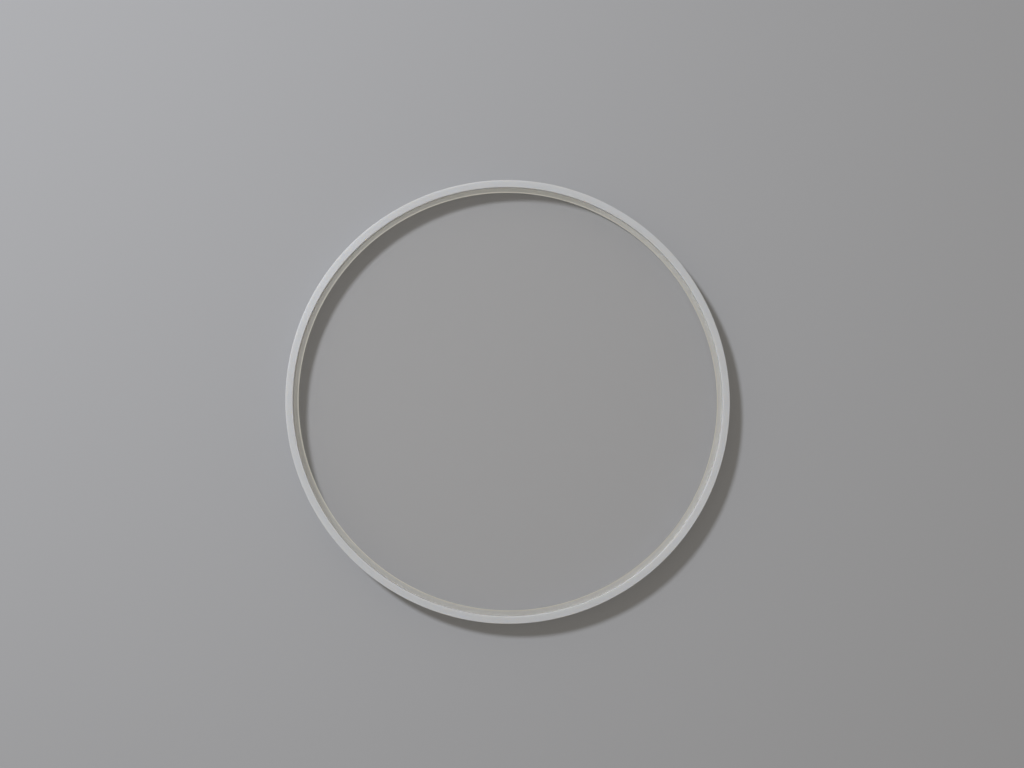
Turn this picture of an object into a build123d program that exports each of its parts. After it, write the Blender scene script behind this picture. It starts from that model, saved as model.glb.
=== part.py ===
from build123d import *
import os

# Watch crystal: a flat glass disc seated in a white gasket ring of L section.
# Millimetres. +Z points out of the watch's face, and the origin is the centre of the gasket's bottom face.

# Gasket ring: its wall is pressed into the case, and the lip at its foot carries the glass
gasket_outer_diameter = 31.0
gasket_height = 2.0
gasket_wall = 0.5
lip_width = 0.2
lip_thickness = 0.45

# Edges of the gasket: a lead-in for the case, a taper under the lip, and a rim rounded on both sides
lead_in_run = 0.10
lead_in_rise = 0.25
lip_taper_run = 0.12
lip_taper_rise = 0.20
rim_outer_round = 0.02
rim_inner_round = 0.02

# Glass disc: the upper bevel is the wide one that shows. A narrow, flatter facet is rubbed along its inner edge.
# The lower bevel only takes the sharp edge off.
glass_thickness = 1.5
upper_bevel_width = 0.30
upper_bevel_drop = 0.12
rubbed_edge_width = 0.09
rubbed_edge_drop = 0.02
lower_bevel_length = 0.08

# Fit of the glass in the gasket, measured on the radius
glass_clearance = 0.02

# Worked out from the sizes above
gasket_radius = gasket_outer_diameter / 2
seat_radius = gasket_radius - gasket_wall
seat_depth = gasket_height - lip_thickness
lip_radius = seat_radius - lip_width
glass_radius = seat_radius - glass_clearance
glass_bottom = lip_thickness
glass_top = glass_bottom + glass_thickness
bevel_radius = glass_radius - upper_bevel_width
bevel_top = glass_top - rubbed_edge_drop

os.makedirs("parts", exist_ok=True)


# Gasket: a disc with a stepped hole through it, whose step is the lip
with BuildPart() as crystal_gasket:
    with BuildSketch(Plane.XY):
        Circle(gasket_radius)
    extrude(amount=gasket_height)
    with Locations(Plane.XY.offset(gasket_height)):
        CounterBoreHole(
            radius=lip_radius,
            counter_bore_radius=seat_radius,
            counter_bore_depth=seat_depth,
            depth=gasket_height,
        )

    # Lead-in at the foot of the outer wall
    foot = crystal_gasket.faces().sort_by(Axis.Z)[0]
    foot_outer_edge = foot.edges().sort_by(SortBy.RADIUS)[-1]
    chamfer(foot_outer_edge, length=lead_in_run, length2=lead_in_rise, reference=foot)

    # Taper under the lip
    foot = crystal_gasket.faces().sort_by(Axis.Z)[0]
    foot_inner_edge = foot.edges().sort_by(SortBy.RADIUS)[0]
    chamfer(foot_inner_edge, length=lip_taper_run, length2=lip_taper_rise, reference=foot)

    # Rounded rim
    rim = crystal_gasket.faces().sort_by(Axis.Z)[-1]
    fillet(rim.edges().sort_by(SortBy.RADIUS)[-1], radius=rim_outer_round)
    rim = crystal_gasket.faces().sort_by(Axis.Z)[-1]
    fillet(rim.edges().sort_by(SortBy.RADIUS)[0], radius=rim_inner_round)

crystal_gasket.part.label = "crystal_gasket"
export_step(crystal_gasket.part, "parts/crystal_gasket.step")


# Glass: a flat disc that rests on the lip, bevelled above and below
with BuildPart() as crystal_glass:
    with BuildSketch(Plane.XZ):
        with BuildLine():
            underside = Line((0, glass_bottom), (glass_radius, glass_bottom))
            edge = Line(underside @ 1, (glass_radius, bevel_top - upper_bevel_drop))
            bevel = Line(edge @ 1, (bevel_radius, bevel_top))
            rubbed_edge = Line(bevel @ 1, (bevel_radius - rubbed_edge_width, glass_top))
            face = Line(rubbed_edge @ 1, (0, glass_top))
            Line(face @ 1, underside @ 0)
        make_face()
    revolve(axis=Axis.Z)
    chamfer(crystal_glass.faces().sort_by(Axis.Z)[0].edges(), length=lower_bevel_length)

crystal_glass.part.label = "crystal_glass"
export_step(crystal_glass.part, "parts/crystal_glass.step")
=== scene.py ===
from math import cos, pi, radians, sin, tan

import bpy
from mathutils import Matrix, Vector


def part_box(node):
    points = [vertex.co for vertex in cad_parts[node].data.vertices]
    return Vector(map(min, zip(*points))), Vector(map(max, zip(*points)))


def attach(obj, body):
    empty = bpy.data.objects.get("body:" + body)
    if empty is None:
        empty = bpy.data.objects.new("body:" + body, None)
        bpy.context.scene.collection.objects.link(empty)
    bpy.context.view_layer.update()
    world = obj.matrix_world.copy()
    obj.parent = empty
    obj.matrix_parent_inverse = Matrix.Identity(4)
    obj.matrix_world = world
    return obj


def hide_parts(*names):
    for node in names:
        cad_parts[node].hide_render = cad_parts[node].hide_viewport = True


# A flat glass watch crystal in its white nylon gasket ring. Lengths are in metres.
MM = 0.001

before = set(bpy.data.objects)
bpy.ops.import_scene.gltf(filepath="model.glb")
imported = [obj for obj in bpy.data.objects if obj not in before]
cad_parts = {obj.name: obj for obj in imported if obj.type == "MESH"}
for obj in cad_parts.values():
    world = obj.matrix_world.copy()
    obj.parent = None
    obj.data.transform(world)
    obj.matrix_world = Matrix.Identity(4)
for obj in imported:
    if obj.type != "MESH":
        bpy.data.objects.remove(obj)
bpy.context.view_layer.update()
gasket_low, gasket_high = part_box("crystal_gasket")
glass_low, glass_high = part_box("crystal_glass")

# Gasket: what the frame gives, and the sizes that its box doesn't show
gasket_radius = (gasket_high.x - gasket_low.x) / 2
gasket_bottom = gasket_low.z
gasket_top = gasket_high.z
gasket_wall = 0.5 * MM
lip_width = 0.2 * MM
lead_in_run = 0.10 * MM
lead_in_rise = 0.25 * MM
lip_taper_run = 0.12 * MM
lip_taper_rise = 0.20 * MM
rim_outer_round = 0.02 * MM
rim_inner_round = 0.02 * MM
gasket_edge_break = 0.015 * MM
seat_radius = gasket_radius - gasket_wall
lip_radius = seat_radius - lip_width

# Glass: the bevel above is the wide one, and a narrow, flatter facet is rubbed along its inner edge
glass_radius = (glass_high.x - glass_low.x) / 2
glass_bottom = glass_low.z
glass_top = glass_high.z
rubbed_run = 0.09 * MM
rubbed_drop = 0.02 * MM
upper_bevel_run = 0.30 * MM
upper_bevel_drop = 0.12 * MM
lower_bevel = 0.08 * MM
glass_edge_break = 0.012 * MM
bevel_radius = glass_radius - upper_bevel_run
rubbed_radius = bevel_radius - rubbed_run
bevel_top = glass_top - rubbed_drop
bevel_foot = bevel_top - upper_bevel_drop

# How finely the meshes are divided
turns = 480
corner_steps = 6
straight_step = 0.06 * MM
most_cuts = 24
sharp_angle = radians(25)
least_length = 1e-9

# Relief of the materials: each layer has a size and a height, and the noise has this many finer levels
nylon_marks = (0.06 * MM, 0.004 * MM)
nylon_grain = (0.05 * MM, 0.002 * MM)
ground_relief = (0.03 * MM, 0.0015 * MM)
noise_detail = 2

# Nylon: its sheen is drawn out a quarter turn from its marks, and light spreads a little inside it
NYLON_COLOR = (0.619, 0.627, 0.634)
nylon_roughness = 0.55
nylon_ior = 1.53
nylon_sheen_stretch = 0.8
nylon_sheen_turn = 0.25
nylon_glow_depth = 0.4 * MM
nylon_glow_shares = (1.0, 0.92, 0.8)

# Glass: what is left of the light that is seen through it, and of the light that falls through it
GLASS_COLOR = (0.984, 0.98, 0.97)
CLEAR_COLOR = (0.964, 0.960, 0.956)
glass_ior = 1.52

# Ground glass: a pale bloom covers it, and glow_share is the part of the bloom that lets light on through
GROUND_COLOR = (0.99, 0.972, 0.925)
BLOOM_COLOR = (0.84, 0.81, 0.70)
GLOW_COLOR = (1.0, 0.97, 0.86)
WALL_COLOR = (0.90, 0.915, 0.895)
ground_roughness = 0.5
ground_bloom = 0.3
rubbed_bloom = 0.8
glow_share = 0.5

# Floor and backdrop: the floor is plain up to near_floor from the part, and like the backdrop past far_floor
FLOOR_COLOR = (0.43, 0.43, 0.436)
BACKDROP_COLOR = (0.45, 0.45, 0.455)
floor_half = 2.0
near_floor = 45 * MM
far_floor = 110 * MM

# Light: the lamp gives key_share of the level on the floor, and the room gives the rest
light_level = 0.758
key_share = 0.56

# Lamp: its azimuth is from +X towards +Y, and its angle from the vertical
KEY_COLOR = (0.96, 1.0, 1.08)
key_azimuth = radians(141)
key_angle = radians(35.5)
key_distance = 160 * MM
key_radius = 10 * MM

# Room: its soft light is brighter near the horizon
ROOM_COLOR = (1.05, 1.0, 0.92)
horizon_height = 0.35
horizon_level = 2.4

# Camera: tilted a little from the vertical, with its focal length in pixels and its sensor in millimetres
picture_width = 1024
focal_pixels = 1240
sensor_width = 36
camera_tilt = radians(6)
camera_azimuth = radians(60)
camera_distance = 86.48 * MM
near_clip = 1 * MM
aim = Vector((0.168, 1.0, 2.0)) * MM


def corner(before, point, after, radius):
    """The points that round one corner of an outline with an arc."""
    to_before = (before - point).normalized()
    to_after = (after - point).normalized()
    half = to_before.angle(to_after) / 2
    reach = radius / tan(half)
    middle = point + (to_before + to_after).normalized() * (radius / sin(half))
    start = (point + to_before * reach - middle).normalized()
    end = (point + to_after * reach - middle).normalized()
    return [middle + start.slerp(end, i / corner_steps) * radius for i in range(corner_steps + 1)]


def rounded(outline):
    """The points of an outline that is given as corners: (radius, height, rounding)."""
    points = []
    for i, (x, z, rounding) in enumerate(outline):
        point = Vector((x, z))
        before = Vector(outline[i - 1][:2])
        after = Vector(outline[(i + 1) % len(outline)][:2])
        if rounding > 0:
            points.extend(corner(before, point, after, rounding))
        else:
            points.append(point)
    return points


def spans(points, closed):
    """Each pair of neighbouring places along an outline."""
    last = len(points) if closed else len(points) - 1
    return [(i, (i + 1) % len(points)) for i in range(last)]


def divided(points, closed):
    """The same outline with its long straight runs cut into shorter ones."""
    result = []
    for i, j in spans(points, closed):
        cuts = max(1, min(most_cuts, round((points[j] - points[i]).length / straight_step)))
        result.extend(points[i].lerp(points[j], k / cuts) for k in range(cuts))
    if not closed:
        result.append(points[-1])
    return result


def lathe(name, points, closed, material_of, materials):
    """Turns an outline about the Z axis. An open one starts and ends on the axis.

    material_of says which of the materials a strip has, from its middle and from the step along it.
    """
    vertices = []
    rows = []
    for point in points:
        first = len(vertices)
        if point.x < least_length:
            rows.append([first] * turns)
            vertices.append((0.0, 0.0, point.y))
            continue
        rows.append(list(range(first, first + turns)))
        for k in range(turns):
            angle = 2 * pi * k / turns
            vertices.append((point.x * cos(angle), point.x * sin(angle), point.y))
    faces = []
    indices = []
    for i, j in spans(points, closed):
        index = material_of((points[i] + points[j]) / 2, points[j] - points[i])
        for k in range(turns):
            n = (k + 1) % turns
            face = [rows[i][k], rows[i][n], rows[j][n], rows[j][k]]
            faces.append([v for place, v in enumerate(face) if v not in face[:place]])
            indices.append(index)
    mesh = bpy.data.meshes.new(name)
    mesh.from_pydata(vertices, [], faces)
    mesh.polygons.foreach_set("material_index", indices)
    for material in materials:
        mesh.materials.append(material)
    mesh.validate()
    mesh.shade_smooth()
    mesh.set_sharp_from_angle(angle=sharp_angle)
    piece = bpy.data.objects.new(name, mesh)
    bpy.context.scene.collection.objects.link(piece)
    return piece


def new_material(name):
    """A material with no nodes yet, and its tree."""
    material = bpy.data.materials.new(name)
    material.use_nodes = True
    tree = material.node_tree
    tree.nodes.clear()
    return material, tree


def plain(tree, kind, color, normal=None):
    """A shader of one colour, such as diffuse, transparent or background."""
    node = tree.nodes.new(kind)
    node.inputs["Color"].default_value = (*color, 1)
    if normal:
        tree.links.new(normal, node.inputs["Normal"])
    return node.outputs[0]


def mixed(tree, share, first, second):
    """A mix of two shaders. The second one's share is a number or another node's output."""
    node = tree.nodes.new("ShaderNodeMixShader")
    if isinstance(share, float):
        node.inputs["Fac"].default_value = share
    else:
        tree.links.new(share, node.inputs["Fac"])
    tree.links.new(first, node.inputs[1])
    tree.links.new(second, node.inputs[2])
    return node.outputs["Shader"]


def combined(tree, operation, first, second):
    """What the operation makes of two other nodes' numbers."""
    node = tree.nodes.new("ShaderNodeMath")
    node.operation = operation
    tree.links.new(first, node.inputs[0])
    tree.links.new(second, node.inputs[1])
    return node.outputs["Value"]


def eased(tree, value, start, end, low, high):
    """A smooth change from low, where the value is start or less, to high, where it is end or more."""
    node = tree.nodes.new("ShaderNodeMapRange")
    node.interpolation_type = "SMOOTHSTEP"
    node.inputs["From Min"].default_value = start
    node.inputs["From Max"].default_value = end
    node.inputs["To Min"].default_value = low
    node.inputs["To Max"].default_value = high
    tree.links.new(value, node.inputs["Value"])
    return node.outputs["Result"]


def looked_at(tree):
    """1 where the camera looks, straight, in a reflection or through glass, and 0 for other light."""
    path = tree.nodes.new("ShaderNodeLightPath")
    straight = combined(tree, "MAXIMUM", path.outputs["Is Camera Ray"], path.outputs["Is Glossy Ray"])
    return combined(tree, "MAXIMUM", straight, path.outputs["Is Transmission Ray"])


def bump(tree, height, distance, normal=None):
    """A bump from another node's height, over the normal that an earlier bump gives."""
    node = tree.nodes.new("ShaderNodeBump")
    node.inputs["Distance"].default_value = distance
    tree.links.new(height, node.inputs["Height"])
    if normal:
        tree.links.new(normal, node.inputs["Normal"])
    return node.outputs["Normal"]


def relief(tree, marks, grain):
    """A bump of fine marks that run round the axis, under an even grain."""
    link = tree.links.new
    mark_size, mark_height = marks
    grain_size, grain_height = grain
    place = tree.nodes.new("ShaderNodeTexCoord")
    across = tree.nodes.new("ShaderNodeVectorMath")
    across.operation = "MULTIPLY"
    across.inputs[1].default_value = (1 / mark_size, 1 / mark_size, 0)
    link(place.outputs["Object"], across.inputs[0])
    radius = tree.nodes.new("ShaderNodeVectorMath")
    radius.operation = "LENGTH"
    link(across.outputs["Vector"], radius.inputs[0])
    rings = tree.nodes.new("ShaderNodeTexNoise")
    rings.noise_dimensions = "1D"
    rings.inputs["Scale"].default_value = 1
    rings.inputs["Detail"].default_value = noise_detail
    link(radius.outputs["Value"], rings.inputs["W"])
    scaled = tree.nodes.new("ShaderNodeVectorMath")
    scaled.operation = "SCALE"
    scaled.inputs["Scale"].default_value = 1 / grain_size
    link(place.outputs["Object"], scaled.inputs[0])
    specks = tree.nodes.new("ShaderNodeTexNoise")
    specks.inputs["Scale"].default_value = 1
    specks.inputs["Detail"].default_value = noise_detail
    link(scaled.outputs["Vector"], specks.inputs["Vector"])
    ridges = bump(tree, rings.outputs["Fac"], mark_height)
    return bump(tree, specks.outputs["Fac"], grain_height, ridges)


def nylon():
    """White moulded nylon: satin, faintly translucent, with fine marks that run round the ring."""
    material, tree = new_material("white_nylon")
    link = tree.links.new
    out = tree.nodes.new("ShaderNodeOutputMaterial")
    shader = tree.nodes.new("ShaderNodeBsdfPrincipled")
    shader.inputs["Base Color"].default_value = (*NYLON_COLOR, 1)
    shader.inputs["Roughness"].default_value = nylon_roughness
    shader.inputs["IOR"].default_value = nylon_ior
    shader.inputs["Anisotropic"].default_value = nylon_sheen_stretch
    shader.inputs["Anisotropic Rotation"].default_value = nylon_sheen_turn
    shader.inputs["Subsurface Weight"].default_value = 1.0
    shader.inputs["Subsurface Radius"].default_value = nylon_glow_shares
    shader.inputs["Subsurface Scale"].default_value = nylon_glow_depth
    along = tree.nodes.new("ShaderNodeTangent")
    along.direction_type = "RADIAL"
    along.axis = "Z"
    link(along.outputs["Tangent"], shader.inputs["Tangent"])
    link(relief(tree, nylon_marks, nylon_grain), shader.inputs["Normal"])
    link(shader.outputs["BSDF"], out.inputs["Surface"])
    return material


def glass(name, color, roughness=0.0, bloom=0.0, bloom_color=BLOOM_COLOR, glow_color=GLOW_COLOR):
    """Mineral glass. Lamps reach through it to what lies under it. A ground surface also has a pale bloom."""
    material, tree = new_material(name)
    out = tree.nodes.new("ShaderNodeOutputMaterial")
    shader = tree.nodes.new("ShaderNodeBsdfPrincipled")
    shader.inputs["Base Color"].default_value = (*color, 1)
    shader.inputs["Roughness"].default_value = roughness
    shader.inputs["IOR"].default_value = glass_ior
    shader.inputs["Transmission Weight"].default_value = 1.0
    surface = shader.outputs["BSDF"]
    if bloom > 0:
        ground = relief(tree, ground_relief, ground_relief)
        tree.links.new(ground, shader.inputs["Normal"])
        above = plain(tree, "ShaderNodeBsdfDiffuse", bloom_color, ground)
        below = plain(tree, "ShaderNodeBsdfTranslucent", glow_color, ground)
        surface = mixed(tree, bloom, surface, mixed(tree, glow_share, above, below))
    clear = plain(tree, "ShaderNodeBsdfTransparent", CLEAR_COLOR)
    path = tree.nodes.new("ShaderNodeLightPath")
    lit_through = combined(tree, "MAXIMUM", path.outputs["Is Shadow Ray"], path.outputs["Is Diffuse Ray"])
    tree.links.new(mixed(tree, lit_through, surface, clear), out.inputs["Surface"])
    return material


def gasket_ring():
    """The nylon ring of L section. The lip at its foot carries the glass."""
    outline = [
        (lip_radius + lip_taper_run, gasket_bottom, gasket_edge_break),
        (gasket_radius - lead_in_run, gasket_bottom, gasket_edge_break),
        (gasket_radius, gasket_bottom + lead_in_rise, gasket_edge_break),
        (gasket_radius, gasket_top, rim_outer_round),
        (seat_radius, gasket_top, rim_inner_round),
        (seat_radius, glass_bottom, 0),
        (lip_radius, glass_bottom, gasket_edge_break),
        (lip_radius, gasket_bottom + lip_taper_rise, gasket_edge_break),
    ]

    def material_of(middle, step):
        return 0

    points = divided(rounded(outline), True)
    piece = lathe("gasket_ring", points, True, material_of, [nylon()])
    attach(piece, "gasket")
    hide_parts("crystal_gasket")


def glass_disc():
    """The glass: its flat faces are polished, and its wall and bevels are ground."""
    outline = [
        (0, glass_bottom, 0),
        (glass_radius - lower_bevel, glass_bottom, glass_edge_break),
        (glass_radius, glass_bottom + lower_bevel, glass_edge_break),
        (glass_radius, bevel_foot, glass_edge_break),
        (bevel_radius, bevel_top, 0),
        (rubbed_radius, glass_top, 0),
        (0, glass_top, 0),
    ]
    polished = glass("polished_glass", GLASS_COLOR)
    ground = glass("ground_glass", GROUND_COLOR, ground_roughness, ground_bloom)
    rubbed = glass("rubbed_glass", GROUND_COLOR, ground_roughness, rubbed_bloom)
    wall = glass("ground_wall", GLASS_COLOR, ground_roughness, ground_bloom, WALL_COLOR, WALL_COLOR)
    materials = [polished, ground, rubbed, wall]

    def material_of(middle, step):
        if abs(step.y) < least_length:
            return materials.index(polished)
        if abs(step.x) < least_length:
            return materials.index(wall)
        return materials.index(rubbed if middle.y > bevel_top else ground)

    points = divided(rounded(outline), False)
    piece = lathe("glass_disc", points, False, material_of, materials)
    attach(piece, "glass")
    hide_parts("crystal_glass")


def floor():
    """A plain floor. Far from the part it shows the backdrop's colour, so that the two run together."""
    sides = ((-1, -1), (1, -1), (1, 1), (-1, 1))
    mesh = bpy.data.meshes.new("floor")
    mesh.from_pydata([(floor_half * x, floor_half * y, 0) for x, y in sides], [], [(0, 1, 2, 3)])
    material, tree = new_material("floor")
    out = tree.nodes.new("ShaderNodeOutputMaterial")
    place = tree.nodes.new("ShaderNodeTexCoord")
    away = tree.nodes.new("ShaderNodeVectorMath")
    away.operation = "LENGTH"
    tree.links.new(place.outputs["Object"], away.inputs[0])
    far = eased(tree, away.outputs["Value"], near_floor, far_floor, 0.0, 1.0)
    near_shader = plain(tree, "ShaderNodeBsdfDiffuse", FLOOR_COLOR)
    far_shader = plain(tree, "ShaderNodeEmission", BACKDROP_COLOR)
    seen = combined(tree, "MULTIPLY", far, looked_at(tree))
    tree.links.new(mixed(tree, seen, near_shader, far_shader), out.inputs["Surface"])
    mesh.materials.append(material)
    piece = bpy.data.objects.new("floor", mesh)
    bpy.context.scene.collection.objects.link(piece)


def lamp():
    """The lamp that throws the shadow, with the power that gives its share of the light on the floor."""
    toward = Vector((sin(key_angle) * cos(key_azimuth), sin(key_angle) * sin(key_azimuth), cos(key_angle)))
    data = bpy.data.lights.new("key", "POINT")
    data.shadow_soft_size = key_radius
    data.energy = 4 * light_level * key_share * (pi * key_distance) ** 2 / cos(key_angle)
    data.color = KEY_COLOR
    piece = bpy.data.objects.new("key", data)
    piece.location = toward * key_distance
    bpy.context.scene.collection.objects.link(piece)


def room():
    """The soft light from all round, and the plain backdrop that is seen in its place."""
    world = bpy.data.worlds.new("world")
    world.use_nodes = True
    tree = world.node_tree
    link = tree.links.new
    direction = tree.nodes.new("ShaderNodeTexCoord")
    height = tree.nodes.new("ShaderNodeSeparateXYZ")
    link(direction.outputs["Generated"], height.inputs[0])
    level = light_level * (1 - key_share)
    strength = eased(tree, height.outputs["Z"], 0.0, horizon_height, level * horizon_level, level)
    light = tree.nodes["Background"]
    light.inputs["Color"].default_value = (*ROOM_COLOR, 1)
    link(strength, light.inputs["Strength"])
    backdrop = plain(tree, "ShaderNodeBackground", BACKDROP_COLOR)
    seen = mixed(tree, looked_at(tree), light.outputs["Background"], backdrop)
    link(seen, tree.nodes["World Output"].inputs["Surface"])
    bpy.context.scene.world = world


def camera():
    """The main view, from almost straight above."""
    ahead = Vector((cos(camera_azimuth), sin(camera_azimuth), 0))
    sideways = Vector((-sin(camera_azimuth), cos(camera_azimuth), 0))
    view = ahead * sin(camera_tilt) - Vector((0, 0, cos(camera_tilt)))
    data = bpy.data.cameras.new("camera")
    data.sensor_width = sensor_width
    data.lens = sensor_width * focal_pixels / picture_width
    data.clip_start = near_clip
    eye = bpy.data.objects.new("camera", data)
    eye.location = aim - view * camera_distance
    eye.rotation_euler = Matrix.Rotation(-camera_tilt, 3, sideways).to_euler()
    bpy.context.scene.collection.objects.link(eye)
    bpy.context.scene.camera = eye


gasket_ring()
glass_disc()
floor()
lamp()
room()
camera()
bpy.context.scene.view_settings.view_transform = "Standard"
